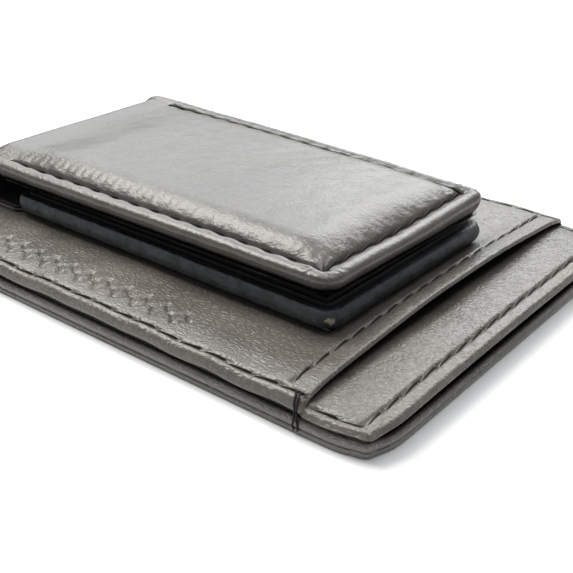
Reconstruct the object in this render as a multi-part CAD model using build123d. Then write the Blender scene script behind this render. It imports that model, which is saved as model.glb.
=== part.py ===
from build123d import *
import math
import os

# Leather card wallet with a folding magnetic money clip, in millimetres.
# Frame: origin at the centre of the underside, +X towards the open end of the card slots,
# +Y towards the far long side, +Z up through the layers to the padded flap.

# ---- driving dimensions ---------------------------------------------------------------
# wallet outline
wallet_length = 102.0
wallet_width = 70.0
wallet_corner = 2.5

# layers of the wallet, from the underside up
back_panel_thickness = 0.9
window_film_thickness = 0.2
back_slot_panel_thickness = 0.8
lining_thickness = 0.2
compartment_gap = 0.5
front_slot_panel_thickness = 1.2
pocket_lining_thickness = 0.2
front_panel_thickness = 0.9

# insets of the layers from the wallet's outline
slot_reveal = 9.7            # strip of the slot panel that shows beyond the mouth
turned_edge = 6.0            # width of leather turned under round the front panel
lining_inset = 0.8
mouth_lining_inset = 2.0     # the linings stop this far inside the open end
gusset_width = 2.2

# window in the back panel
window_length = 72.0
window_width = 43.0
window_corner = 4.0
film_overlap = 4.0           # film held under the leather all round the window

# money clip
clip_length = 71.0
clip_width = 39.4
clip_center_x = 0.5
clip_center_y = -2.5
clip_corner = 2.6
strap_thickness = 0.6
hinge_lining_thickness = 0.4
strap_side_inset = 0.3       # the fold is this much narrower than the flap on each side
tongue_inset = 1.6           # the strap's tongue under the base pad, inside the pad's rim

# base pad
base_setback = 10.3          # from the outer end of the fold to the pad
base_height = 2.8
base_wall = 0.8
base_floor = 0.6
base_lining_thickness = 0.4

# gap for the notes
note_gap = 2.3

# padded flap
flap_setback = 7.5           # from the outer end of the fold to the seam across the flap
flap_crown_height = 1.8
flap_border_width = 2.4
flap_groove_width = 0.9
flap_groove_depth = 0.4
flap_leather = 0.9
crown_corner = 2.0
crown_round = 1.4
fold_drop = 0.6              # the fold's top lies this much below the flap's crown
flap_lining_thickness = 0.4
board_inset = 0.6            # boards stay this far inside the leather walls
pad_clearance = 0.05         # loose fit of the pieces shut inside the leather

# magnets
magnet_diameter = 12.0
magnet_thickness = 0.8
magnet_end_distance = 14.0   # from the clip's free end to the magnets' centres
magnet_spacing = 18.0
magnet_clearance = 0.05

# thread
stitch_pitch = 3.9
stitch_length = 2.9
thread_width = 0.5
thread_height = 0.3
groove_width = 0.9
groove_depth = 0.25
edge_stitch_inset = 1.4      # long sides and closed end
end_stitch_inset = 2.4       # open end of the slot panel
mouth_stitch_inset = 3.3     # inside the front panel's mouth
tack_length = 2.4

# ---- heights and places that follow -----------------------------------------------------
film_z = back_panel_thickness
back_slot_z = film_z + window_film_thickness
lower_lining_z = back_slot_z + back_slot_panel_thickness
gusset_z = lower_lining_z + lining_thickness
upper_lining_z = gusset_z + compartment_gap
front_slot_z = upper_lining_z + lining_thickness
front_z = front_slot_z + front_slot_panel_thickness
front_top_z = front_z + front_panel_thickness
base_z = front_top_z + strap_thickness
base_top_z = base_z + base_height
flap_z = base_top_z + note_gap
board_z = flap_z + flap_lining_thickness
board_top_z = board_z + magnet_thickness
border_top_z = board_top_z + flap_leather
crown_top_z = border_top_z + flap_crown_height
fold_top_z = crown_top_z - fold_drop

half_length = wallet_length / 2
half_width = wallet_width / 2
mouth_x = half_length - slot_reveal
clip_x0 = clip_center_x - clip_length / 2
clip_x1 = clip_center_x + clip_length / 2
clip_y0 = clip_center_y - clip_width / 2
clip_y1 = clip_center_y + clip_width / 2
base_x0 = clip_x0 + base_setback
seam_x = clip_x0 + flap_setback
fold_radius = (fold_top_z - front_top_z) / 2
fold_x = clip_x0 + fold_radius
fold_z = front_top_z + fold_radius
magnet_x = clip_x1 - magnet_end_distance
crown_inset = flap_border_width + flap_groove_width


# ---- shapes shared by several pieces ----------------------------------------------------
def plate(x0, x1, y0, y1, z0, z1, corner=0.0):
    """A flat plate between the given faces, with round corners seen from above."""
    length, width = x1 - x0, y1 - y0
    outline = RectangleRounded(length, width, corner) if corner else Rectangle(length, width)
    solid = extrude(outline, z1 - z0)
    return Pos((x0 + x1) / 2, (y0 + y1) / 2, z0) * solid


def wallet_plate(z0, z1, inset=0.0):
    """A plate with the wallet's outline, drawn in by inset."""
    return plate(
        inset - half_length, half_length - inset, inset - half_width, half_width - inset, z0, z1,
        max(wallet_corner - inset, 0.5),
    )


def clip_plate(x0, z0, z1, inset=0.0):
    """A plate with the clip's outline from x0 to its free end, drawn in by inset."""
    return plate(
        x0 + inset, clip_x1 - inset, clip_y0 + inset, clip_y1 - inset, z0, z1,
        max(clip_corner - inset, 0.5),
    )


def flap_plate(z0, z1, inset=0.0):
    """A clip plate from the flap's seam, square where the strap carries on."""
    x0, y0, y1 = seam_x + inset, clip_y0 + inset, clip_y1 - inset
    return clip_plate(x0 - clip_corner, z0, z1, inset) & plate(x0, clip_x1, y0, y1, z0, z1)


def bar(start, end, width, z0, z1):
    """A straight bar of rectangular section from start to end, two points seen from above."""
    run = Vector(*end) - Vector(*start)
    middle = (Vector(*start) + Vector(*end)) / 2
    angle = math.degrees(math.atan2(run.Y, run.X))
    solid = extrude(Rectangle(run.length, width), z1 - z0)
    return Pos(middle.X, middle.Y, z0) * Rot(0, 0, angle) * solid


def stitches(start, end, z0):
    """Separate stitches in a row from start to end, each a short bar lying at height z0."""
    start, end = Vector(*start), Vector(*end)
    run = end - start
    count = max(1, round(run.length / stitch_pitch))
    along = run.normalized()
    half = along * (min(stitch_length, 0.8 * run.length / count) / 2)
    row = []
    for index in range(count):
        middle = start + run * ((index + 0.5) / count)
        tail, head = middle - half, middle + half
        row.append(bar((tail.X, tail.Y), (head.X, head.Y), thread_width, z0, z0 + thread_height))
    return row


def magnet_places():
    """The centres of one pair of magnets, seen from above."""
    return [(magnet_x, clip_center_y + side * magnet_spacing / 2) for side in (-1, 1)]


def discs(diameter, z0, z1):
    """One disc at each magnet's place."""
    disc = extrude(Circle(diameter / 2), z1 - z0)
    return [Pos(x, y, z0) * disc for x, y in magnet_places()]


def fold_band(outer, inner, tail_x, head_x):
    """The side outline of a band folded round the clip's closed end, as a face in the XZ plane."""
    ring = Circle(outer) - Circle(inner)
    left_half = Pos(-outer / 2, 0) * Rectangle(outer, 2 * outer)
    bend = ring & left_half
    thickness = outer - inner
    tail = Pos((tail_x - fold_x) / 2, -outer + thickness / 2) * Rectangle(tail_x - fold_x, thickness)
    head = Pos((head_x - fold_x) / 2, outer - thickness / 2) * Rectangle(head_x - fold_x, thickness)
    return bend + tail + head


def folded(outer, inner, tail_x, head_x):
    """The folded band as a solid, as wide as the flap less its side insets."""
    width = clip_width - 2 * strap_side_inset
    face = Plane.XZ * fold_band(outer, inner, tail_x, head_x)
    solid = extrude(face, width / 2, both=True)
    return Pos(fold_x, clip_center_y, fold_z) * solid


# ---- stitch lines, seen from above ------------------------------------------------------
side_y = half_width - edge_stitch_inset
closed_x = edge_stitch_inset - half_length
end_x = half_length - end_stitch_inset
mouth_row_x = mouth_x - mouth_stitch_inset
mouth_row_y = side_y - stitch_pitch / 2
flap_row_x = clip_x1 - flap_border_width - flap_groove_width / 2
flap_row_y0 = clip_y0 + flap_border_width + flap_groove_width / 2
flap_row_y1 = clip_y1 - flap_border_width - flap_groove_width / 2

near_row = ((closed_x, -side_y), (mouth_x, -side_y))
far_row = ((closed_x, side_y), (mouth_x, side_y))
closed_row = ((closed_x, -side_y), (closed_x, side_y))
mouth_row = ((mouth_row_x, -mouth_row_y), (mouth_row_x, mouth_row_y))
end_row = ((end_x, -side_y), (end_x, side_y))
near_strip_row = ((mouth_x, -side_y), (end_x, -side_y))
far_strip_row = ((mouth_x, side_y), (end_x, side_y))
under_rows = [((closed_x, -side_y), (end_x, -side_y)), ((closed_x, side_y), (end_x, side_y)), closed_row]


def grooves(rows, z0, z1):
    """Bars that cut the stitch grooves of some rows."""
    return [bar(start, end, groove_width, z0, z1) for start, end in rows]


# ---- wallet pieces ----------------------------------------------------------------------
def back_panel():
    """Outer leather of the underside, with the window and a stitch groove on three sides."""
    panel = wallet_plate(0, back_panel_thickness)
    half_x, half_y = window_length / 2, window_width / 2
    panel -= plate(-half_x, half_x, -half_y, half_y, 0, back_panel_thickness, window_corner)
    for cut in grooves(under_rows, 0, groove_depth + thread_height):
        panel -= cut
    return panel


def id_window_film():
    """Clear film held between the back panel and the panel behind it."""
    half_x, half_y = window_length / 2 + film_overlap, window_width / 2 + film_overlap
    return plate(-half_x, half_x, -half_y, half_y, film_z, back_slot_z, window_corner)


def back_slot_panel():
    """Leather behind the film, thickened round it to meet the back panel."""
    half_x, half_y = window_length / 2 + film_overlap, window_width / 2 + film_overlap
    panel = wallet_plate(film_z, lower_lining_z)
    return panel - plate(-half_x, half_x, -half_y, half_y, film_z, back_slot_z, window_corner)


def compartment_lining(z0):
    """One black cloth sheet of the middle compartment."""
    x0, x1 = lining_inset - half_length, half_length - mouth_lining_inset
    y1 = half_width - lining_inset
    return plate(x0, x1, -y1, y1, z0, z0 + lining_thickness)


def compartment_gusset():
    """The folded cloth seam that closes the compartment on three sides."""
    x0, x1 = lining_inset - half_length, half_length - mouth_lining_inset
    y1 = half_width - lining_inset
    outer = plate(x0, x1, -y1, y1, gusset_z, upper_lining_z)
    return outer - plate(
        x0 + gusset_width, x1, gusset_width - y1, y1 - gusset_width, gusset_z, upper_lining_z
    )


def front_slot_panel():
    """Leather behind the front panel, with the grooves of the strip that shows."""
    panel = wallet_plate(front_slot_z, front_z)
    rows = [end_row, near_strip_row, far_strip_row]
    for cut in grooves(rows, front_z - groove_depth, front_z):
        panel -= cut
    return panel


def front_pocket_lining():
    """Cloth on the inner face of the front panel, inside its turned edges."""
    return plate(
        turned_edge - half_length, mouth_x - turned_edge, turned_edge - half_width,
        half_width - turned_edge, front_z, front_z + pocket_lining_thickness,
    )


def front_panel():
    """Outer leather of the front, with turned edges round its lining."""
    panel = wallet_plate(front_z, front_top_z)
    panel -= plate(mouth_x, half_length + 1, -half_width, half_width, front_z, front_top_z)
    panel -= front_pocket_lining()
    for cut in grooves([near_row, far_row, closed_row, mouth_row], front_top_z - groove_depth, front_top_z):
        panel -= cut
    return panel


# ---- clip base --------------------------------------------------------------------------
def hinge_strap():
    """The leather strap: a tongue under the base pad, the fold, and its end at the flap."""
    fold = folded(fold_radius, fold_radius - strap_thickness, base_x0, seam_x)
    tongue = plate(
        base_x0, clip_x1 - tongue_inset, clip_y0 + tongue_inset, clip_y1 - tongue_inset,
        front_top_z, base_z,
    )
    return fold + tongue


def hinge_lining():
    """The black layer on the inside of the fold."""
    outer = fold_radius - strap_thickness
    return folded(outer, outer - hinge_lining_thickness, base_x0, seam_x)


def clip_base_cover():
    """Leather wrap of the base pad: floor and walls, open on top for the lining."""
    cover = clip_plate(base_x0, base_z, base_top_z)
    return cover - clip_plate(base_x0, base_z + base_floor, base_top_z, base_wall)


def clip_base_board():
    """Stiff board inside the base pad, with pockets for the magnets."""
    board = clip_plate(
        base_x0, base_z + base_floor, base_top_z - base_lining_thickness, base_wall + board_inset
    )
    top = base_top_z - base_lining_thickness
    for cut in discs(magnet_diameter + 2 * magnet_clearance, top - magnet_thickness, top):
        board -= cut
    return board


def clip_base_magnets():
    """Two disc magnets in the board, under the lining."""
    top = base_top_z - base_lining_thickness
    return discs(magnet_diameter, top - magnet_thickness, top)


def clip_base_lining():
    """Black face of the base pad, inside the leather walls."""
    return clip_plate(base_x0, base_top_z - base_lining_thickness, base_top_z, base_wall + pad_clearance)


# ---- flap -------------------------------------------------------------------------------
def crown(z0, z1, inset, top_round):
    """The raised middle of the flap, drawn in by inset, with its top edges rounded."""
    body = plate(
        seam_x + inset, clip_x1 - crown_inset - inset, clip_y0 + crown_inset + inset,
        clip_y1 - crown_inset - inset, z0, z1, max(crown_corner - inset, 0.5),
    )
    return fillet(body.edges().group_by(Axis.Z)[-1], top_round)


def flap_cover():
    """Padded leather of the flap: border, stitched groove and crown over a hollow."""
    cover = flap_plate(flap_z, border_top_z)
    groove_z = border_top_z - flap_groove_depth
    cover -= plate(
        seam_x, clip_x1 - flap_border_width, clip_y0 + flap_border_width, clip_y1 - flap_border_width,
        groove_z, border_top_z,
    )
    cover += crown(groove_z, crown_top_z, 0, crown_round)
    cover -= flap_plate(flap_z, board_top_z, flap_leather)
    hollow_round = max(crown_round - flap_leather, 0.3)
    cover -= crown(board_top_z, crown_top_z - flap_leather, flap_leather, hollow_round)
    return cover


def flap_lining():
    """Black face of the flap, inside the leather edge."""
    return flap_plate(flap_z, board_z, flap_leather + pad_clearance)


def flap_board():
    """Stiff board of the flap, as thick as the magnets that lie in its holes."""
    board = flap_plate(board_z, board_top_z, flap_leather + board_inset)
    for cut in discs(magnet_diameter + 2 * magnet_clearance, board_z, board_top_z):
        board -= cut
    return board


def flap_magnets():
    """Two disc magnets in the board, above the lining."""
    return discs(magnet_diameter, board_z, board_top_z)


def flap_padding():
    """Foam between the board and the crown."""
    inset = flap_leather + pad_clearance
    top_round = max(crown_round - flap_leather, 0.3)
    return crown(board_top_z, crown_top_z - flap_leather - pad_clearance, inset, top_round)


# ---- threads ----------------------------------------------------------------------------
def on_front(row):
    """Stitches of a row on the front panel, lying in their groove."""
    return stitches(*row, front_top_z - groove_depth)


def slot_panel_stitches():
    """Stitches round the strip of the slot panel beyond the mouth."""
    stop_x = end_x - stitch_pitch / 2
    rows = [end_row, ((mouth_x, -side_y), (stop_x, -side_y)), ((mouth_x, side_y), (stop_x, side_y))]
    return [one for row in rows for one in stitches(*row, front_z - groove_depth)]


def underside_stitches():
    """Stitches under the wallet, sunk in their groove so that they stay off the table."""
    corner = stitch_pitch / 2
    (near_start, near_end), (far_start, far_end), (low, high) = under_rows
    rows = [(near_start, near_end), (far_start, far_end)]
    rows.append(((low[0], low[1] + corner), (high[0], high[1] - corner)))
    return [one for row in rows for one in stitches(*row, groove_depth)]


def closed_end_stitches():
    """Stitches across the closed end, between the two long rows."""
    (x, low), (_, high) = closed_row
    return on_front(((x, low + stitch_pitch / 2), (x, high - stitch_pitch / 2)))


def flap_border_stitches():
    """Stitches in the groove round three sides of the flap."""
    corner = stitch_pitch / 2
    z = border_top_z - flap_groove_depth
    near = ((seam_x, flap_row_y0), (flap_row_x, flap_row_y0))
    far = ((seam_x, flap_row_y1), (flap_row_x, flap_row_y1))
    free = ((flap_row_x, flap_row_y0 + corner), (flap_row_x, flap_row_y1 - corner))
    return [one for row in (near, far, free) for one in stitches(*row, z)]


def corner_tacks():
    """A short tack over each end of the mouth, on the front panel."""
    x1 = mouth_x - groove_width
    row_y = side_y - groove_width
    z = front_top_z
    return [
        bar((x1 - tack_length, side * row_y), (x1, side * row_y), thread_width, z, z + thread_height)
        for side in (-1, 1)
    ]


nodes = {
    "back_panel": back_panel(),
    "id_window_film": id_window_film(),
    "back_slot_panel": back_slot_panel(),
    "lower_compartment_lining": compartment_lining(lower_lining_z),
    "compartment_gusset": compartment_gusset(),
    "upper_compartment_lining": compartment_lining(upper_lining_z),
    "front_slot_panel": front_slot_panel(),
    "front_pocket_lining": front_pocket_lining(),
    "front_panel": front_panel(),
    "hinge_strap": hinge_strap(),
    "hinge_lining": hinge_lining(),
    "clip_base_cover": clip_base_cover(),
    "clip_base_board": clip_base_board(),
    "clip_base_magnets": clip_base_magnets(),
    "clip_base_lining": clip_base_lining(),
    "flap_cover": flap_cover(),
    "flap_padding": flap_padding(),
    "flap_board": flap_board(),
    "flap_magnets": flap_magnets(),
    "flap_lining": flap_lining(),
    "mouth_stitches": on_front(mouth_row),
    "slot_panel_stitches": slot_panel_stitches(),
    "near_edge_stitches": on_front(near_row),
    "far_edge_stitches": on_front(far_row),
    "closed_end_stitches": closed_end_stitches(),
    "underside_stitches": underside_stitches(),
    "flap_border_stitches": flap_border_stitches(),
    "corner_tacks": corner_tacks(),
}

os.makedirs("parts", exist_ok=True)
for name, shape in nodes.items():
    pieces = shape if isinstance(shape, list) else [shape]
    solids = [solid for piece in pieces for solid in piece.solids()]
    export_step(Compound(children=solids) if len(solids) > 1 else solids[0], f"parts/{name}.step")
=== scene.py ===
"""Leather card wallet with a folding magnetic money clip: its visible pieces, finishes and studio."""

import logging
import math
from dataclasses import dataclass
from enum import Enum
from typing import Callable, Optional

import bmesh
import bpy
import numpy as np
from mathutils import Matrix, Vector


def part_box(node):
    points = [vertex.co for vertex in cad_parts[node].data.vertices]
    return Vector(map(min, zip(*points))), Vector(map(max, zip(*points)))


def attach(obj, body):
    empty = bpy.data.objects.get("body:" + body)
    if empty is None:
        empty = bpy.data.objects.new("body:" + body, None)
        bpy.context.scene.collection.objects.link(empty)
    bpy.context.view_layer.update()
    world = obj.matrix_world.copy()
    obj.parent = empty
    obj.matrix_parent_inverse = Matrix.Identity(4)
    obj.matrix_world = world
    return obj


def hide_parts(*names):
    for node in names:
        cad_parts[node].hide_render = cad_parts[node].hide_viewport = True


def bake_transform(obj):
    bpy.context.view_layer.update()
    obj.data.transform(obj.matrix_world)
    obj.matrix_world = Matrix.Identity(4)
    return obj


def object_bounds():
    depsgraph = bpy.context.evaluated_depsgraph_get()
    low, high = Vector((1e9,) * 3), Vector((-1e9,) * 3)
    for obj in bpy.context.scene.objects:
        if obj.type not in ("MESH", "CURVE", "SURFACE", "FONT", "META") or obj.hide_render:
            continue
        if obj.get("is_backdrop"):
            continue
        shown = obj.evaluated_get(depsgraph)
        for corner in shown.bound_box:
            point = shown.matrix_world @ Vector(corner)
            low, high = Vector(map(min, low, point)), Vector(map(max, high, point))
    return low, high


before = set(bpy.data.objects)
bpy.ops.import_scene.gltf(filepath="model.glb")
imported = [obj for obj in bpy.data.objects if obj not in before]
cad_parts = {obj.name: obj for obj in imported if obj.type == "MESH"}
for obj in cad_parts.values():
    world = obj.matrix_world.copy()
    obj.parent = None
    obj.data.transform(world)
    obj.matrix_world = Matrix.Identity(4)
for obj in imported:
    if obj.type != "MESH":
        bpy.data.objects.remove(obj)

log = logging.getLogger("wallet")
MM = 0.001
SHARP_ANGLE = math.radians(48)
TINY = 1e-9
GAP = 0.02  # kept between faces that would touch
Array = np.ndarray
Height = Callable[[Array, Array], Array]


# ---- small numeric helpers: all lengths are in millimetres --------------------------------------
def smooth(low: float, high: float, value: Array) -> Array:
    """Smooth step from 0 at low to 1 at high: 3t² − 2t³, with t the clamped share of the way."""
    t = np.clip((value - low) / (high - low), 0.0, 1.0)
    return t * t * (3 - 2 * t)


def fall(low: float, high: float, value: Array) -> Array:
    """Smooth step from 1 at low down to 0 at high."""
    return 1 - smooth(low, high, value)


def hump(value: Array, middle: float, width: float) -> Array:
    """A bell of height 1: exp(−((value − middle) / width)²)."""
    return np.exp(-(((value - middle) / width) ** 2))


def roll(distance: Array, radius: float) -> Array:
    """Drop of a rounded edge: r − √(r² − (r − d)²) at distance d inside the radius r, and 0 further in."""
    inward = np.clip(radius - distance, 0.0, radius)
    return radius - np.sqrt(np.maximum(radius ** 2 - inward ** 2, 0.0))


def ripple(x: Array, y: Array, length: float, seed: int) -> Array:
    """Slow uneven waves, as hand-worked leather has: the sum of seven sine waves in different directions.

    Args:
        x, y: places on the piece.
        length: the usual wavelength.
        seed: picks the directions and phases.

    Returns:
        The waves, scaled to about −1 to 1.
    """
    draw = np.random.default_rng(seed)
    total = np.zeros(np.broadcast(x, y).shape)
    for _ in range(7):
        angle, phase = draw.uniform(0, 2 * math.pi, 2)
        wave = 2 * math.pi / (length * draw.uniform(0.6, 1.7))
        total += np.sin(wave * (x * math.cos(angle) + y * math.sin(angle)) + phase)
    return total / 3.2


def lines(low: float, high: float, step: float, fine: tuple = ()) -> Array:
    """Grid lines from low to high, closer together where a shape needs them.

    Args:
        low, high: first and last line.
        step: usual spacing.
        fine: (centre, reach, spacing) of each stretch with closer lines.

    Returns:
        The line positions, evenly shared out by the wanted density.
    """
    sample = np.linspace(low, high, 4001)
    density = np.full(sample.shape, 1.0 / step)
    for centre, reach, spacing in fine:
        density = np.maximum(density, (np.abs(sample - centre) <= reach) / spacing)
    gained = np.concatenate([[0.0], np.cumsum((density[1:] + density[:-1]) / 2 * np.diff(sample))])
    count = max(2, int(round(gained[-1])))
    return np.interp(np.linspace(0, gained[-1], count + 1), gained, sample)


def span(node: str) -> tuple[Vector, Vector]:
    """The lowest and highest corner of a CAD node."""
    low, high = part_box(node)
    return low / MM, high / MM


@dataclass(frozen=True)
class Outline:
    """A rounded rectangle seen from above.

    Args:
        x0, x1, y0, y1: its four sides.
        corner: corner radius at the +X end.
        tail_corner: corner radius at the −X end, or None for the same.
    """

    x0: float
    x1: float
    y0: float
    y1: float
    corner: float
    tail_corner: Optional[float] = None

    def grid(self, step_x: float, step_y: float, fine_x: tuple = (),
             fine_y: tuple = ()) -> tuple[Array, Array, Array]:
        """Lays a grid over the outline so that its border follows the round corners.

        In a corner square of side r the point (a, b), counted from the corner's centre in radii, moves to
        (a, b) · max(a, b) / √(a² + b²), which carries square rings onto round ones.

        Args:
            step_x, step_y: usual spacing of the grid lines.
            fine_x, fine_y: stretches with closer lines; see lines.

        Returns:
            X, Y and the distance in from the outline.
        """
        xs, ys = lines(self.x0, self.x1, step_x, fine_x), lines(self.y0, self.y1, step_y, fine_y)
        x, y = np.meshgrid(xs, ys, indexing="ij")
        distance = np.minimum.reduce([x - self.x0, self.x1 - x, y - self.y0, self.y1 - y])
        tail = self.corner if self.tail_corner is None else self.tail_corner
        for at_x, side_x, radius in ((self.x0, -1, tail), (self.x1, 1, self.corner)):
            for at_y, side_y in ((self.y0, -1), (self.y1, 1)):
                centre_x, centre_y = at_x - side_x * radius, at_y - side_y * radius
                a = np.clip(side_x * (x - centre_x) / radius, 0, None)
                b = np.clip(side_y * (y - centre_y) / radius, 0, None)
                inside = (a > 0) & (b > 0)
                most, size = np.maximum(a, b), np.maximum(np.hypot(a, b), TINY)
                x = np.where(inside, centre_x + side_x * radius * a * most / size, x)
                y = np.where(inside, centre_y + side_y * radius * b * most / size, y)
                distance = np.where(inside, radius * (1 - most), distance)
        return x, y, np.maximum(distance, 0.0)

    def inside(self, x: Array, y: Array) -> Array:
        """Distance in from the outline, and 0 outside it.

        With q the distance past the sides of the rectangle drawn in by the radius r, this is
        r − |max(q, 0)| − min(max(qx, qy), 0).

        Args:
            x, y: places seen from above.

        Returns:
            The distance at each point.
        """
        r = self.corner
        qx = np.abs(x - (self.x0 + self.x1) / 2) - ((self.x1 - self.x0) / 2 - r)
        qy = np.abs(y - (self.y0 + self.y1) / 2) - ((self.y1 - self.y0) / 2 - r)
        found = r - np.hypot(np.maximum(qx, 0), np.maximum(qy, 0)) - np.minimum(np.maximum(qx, qy), 0)
        return np.maximum(found, 0.0)

    def loop(self, along_x: int, along_y: int, on_corner: int) -> Array:
        """Points round the outline, counter-clockwise from the −Y side.

        Args:
            along_x, along_y: points on each side.
            on_corner: points on each round corner.

        Returns:
            (n, 2) points, as many on each side and corner whatever the size.
        """
        r, parts = self.corner, []
        x0, x1, y0, y1 = self.x0 + r, self.x1 - r, self.y0 + r, self.y1 - r
        centres = np.array([(x0, y0), (x1, y0), (x1, y1), (x0, y1)])
        for k in range(4):
            facing = (k - 1) * math.pi / 2
            share = np.linspace(0, 1, (along_x, along_y)[k % 2], endpoint=False)[:, None]
            turn = facing + np.linspace(0, math.pi / 2, on_corner, endpoint=False)
            first, last = centres[k], centres[(k + 1) % 4]
            parts.append(first + share * (last - first) + r * np.array([math.cos(facing), math.sin(facing)]))
            parts.append(last + r * np.stack([np.cos(turn), np.sin(turn)], axis=1))
        return np.concatenate(parts)


def outlined(node: str, corner: float, tail_corner: Optional[float] = None) -> tuple[Vector, Vector, Outline]:
    """The lowest and highest corner of a CAD node, and a rounded rectangle round it."""
    low, high = span(node)
    return low, high, Outline(low.x, high.x, low.y, high.y, corner, tail_corner)


# ---- mesh helpers --------------------------------------------------------------------------------
def make_object(name: str, points: Array, faces: Array, smooth_faces: bool = True) -> bpy.types.Object:
    """Puts points and quads into a new object at the origin, in metres.

    Args:
        name: the object's name.
        points: (..., 3) points.
        faces: (m, 4) point numbers.
        smooth_faces: whether the faces are shaded smooth.

    Returns:
        The object.
    """
    mesh = bpy.data.meshes.new(name)
    mesh.from_pydata((points.reshape(-1, 3) * MM).tolist(), [], faces.tolist())
    mesh.polygons.foreach_set("use_smooth", np.full(len(mesh.polygons), smooth_faces))
    mesh.validate()
    mesh.set_sharp_from_angle(angle=SHARP_ANGLE)
    mesh.update()
    return link(bpy.data.objects.new(name, mesh))


def link(made: bpy.types.Object) -> bpy.types.Object:
    """Puts an object into the scene."""
    bpy.context.scene.collection.objects.link(made)
    return made


def store(piece: bpy.types.Object, name: str, values: Array) -> None:
    """Stores one number for each point of a piece under an attribute's name."""
    piece.data.attributes.new(name, "FLOAT", "POINT").data.foreach_set("value", values)


def outward(piece: bpy.types.Object) -> None:
    """Turns every face of a closed mesh outwards."""
    shape = bmesh.new()
    shape.from_mesh(piece.data)
    bmesh.ops.recalc_face_normals(shape, faces=shape.faces)
    shape.to_mesh(piece.data)
    shape.free()


def grid_faces(rows: int, columns: int, offset: int = 0, wrap: bool = False) -> Array:
    """Quads of a rows × columns grid of points.

    Args:
        rows, columns: size of the grid.
        offset: number of the first point.
        wrap: whether the last column joins the first.

    Returns:
        (m, 4) point numbers, facing the way that row × column points.
    """
    i, j = np.meshgrid(np.arange(rows - 1), np.arange(columns if wrap else columns - 1), indexing="ij")
    after = (j + 1) % columns
    quads = [i * columns + j, (i + 1) * columns + j, (i + 1) * columns + after, i * columns + after]
    return np.stack(quads, axis=-1).reshape(-1, 4) + offset


def border(rows: int, columns: int) -> Array:
    """Point numbers round the rim of a grid, counter-clockwise seen from above."""
    number = np.arange(rows * columns).reshape(rows, columns)
    return np.concatenate([number[:-1, 0], number[-1, :-1], number[:0:-1, -1], number[0, :0:-1]])


def surface(x: Array, y: Array, z: Array) -> Array:
    """Puts three coordinates together into (rows, columns, 3) points."""
    return np.stack(np.broadcast_arrays(x, y, z), axis=-1)


def closed_sheet(name: str, upper: Array, lower: Array, wall_rows: int = 0, belly: Array = 0.0,
                 inner: Optional[tuple] = None) -> bpy.types.Object:
    """A closed sheet between two grids of points, joined round the rim.

    The wall between the rims may have rows of its own. At share s of the way down, it leans outwards by
    belly · sin(πs), where outwards is across the rim, seen from above. The attribute inner is painted shade:
    it says how far each point is darkened towards near black, where shade falls in stitch valleys and
    openings.

    Args:
        name: the object's name.
        upper, lower: (rows, columns, 3) points of the two faces.
        wall_rows: rows of points inside the wall.
        belly: how far the wall leans out, at each point of the grid or everywhere.
        inner: values of the attribute inner on the upper and on the lower face, or None for no attribute.

    Returns:
        The object.
    """
    rows, columns = upper.shape[:2]
    top, bottom = upper.reshape(-1, 3), lower.reshape(-1, 3)
    rim = border(rows, columns)
    along = np.roll(top[rim], -1, axis=0) - np.roll(top[rim], 1, axis=0)
    out = np.stack([along[:, 1], -along[:, 0], 0 * along[:, 0]], axis=1)
    out /= np.maximum(np.linalg.norm(out, axis=1, keepdims=True), TINY)
    lean = np.broadcast_to(belly, (rows, columns)).reshape(-1)[rim]
    share = np.arange(1, wall_rows + 1)[:, None] / (wall_rows + 1)
    down = share[..., None]
    wall = top[rim] * (1 - down) + bottom[rim] * down + out * (lean * np.sin(math.pi * share))[..., None]
    wall_points = 2 * len(top) + np.arange(wall_rows * len(rim)).reshape(wall_rows, len(rim))
    levels = [rim, *wall_points, rim + len(top)]
    faces = [grid_faces(rows, columns), grid_faces(rows, columns, len(top))[:, ::-1]]
    for above, below in zip(levels, levels[1:]):
        faces.append(np.stack([above, below, np.roll(below, -1), np.roll(above, -1)], axis=-1))
    piece = make_object(name, np.concatenate([top, bottom, wall.reshape(-1, 3)]), np.concatenate(faces))
    if inner is not None:
        above, below = (np.broadcast_to(part, (rows, columns)).reshape(-1) for part in inner)
        between = above[rim] * (1 - share) + below[rim] * share
        store(piece, "inner", np.concatenate([above, below, between.reshape(-1)]))
    return piece


def swept(name: str, rings: Array, endless: bool = False) -> bpy.types.Object:
    """Closed tubes through rings of points, in one mesh.

    Args:
        name: the object's name.
        rings: (tubes, rings, points, 3) points, with an even number of points in a ring.
        endless: whether the last ring joins the first; otherwise both are capped.

    Returns:
        The object.
    """
    tubes, length, sides = rings.shape[:3]
    one = [grid_faces(length + endless, sides, wrap=True) % (length * sides)]
    ring, k = np.arange(sides), np.arange(1, sides - 2, 2)
    for ends in () if endless else (ring[::-1], ring + (length - 1) * sides):
        one.append(np.stack([0 * k + ends[0], ends[k], ends[k + 1], ends[k + 2]], axis=-1))
    offsets = np.arange(tubes)[:, None, None] * (length * sides)
    return make_object(name, rings, (np.concatenate(one)[None] + offsets).reshape(-1, 4))


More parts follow.
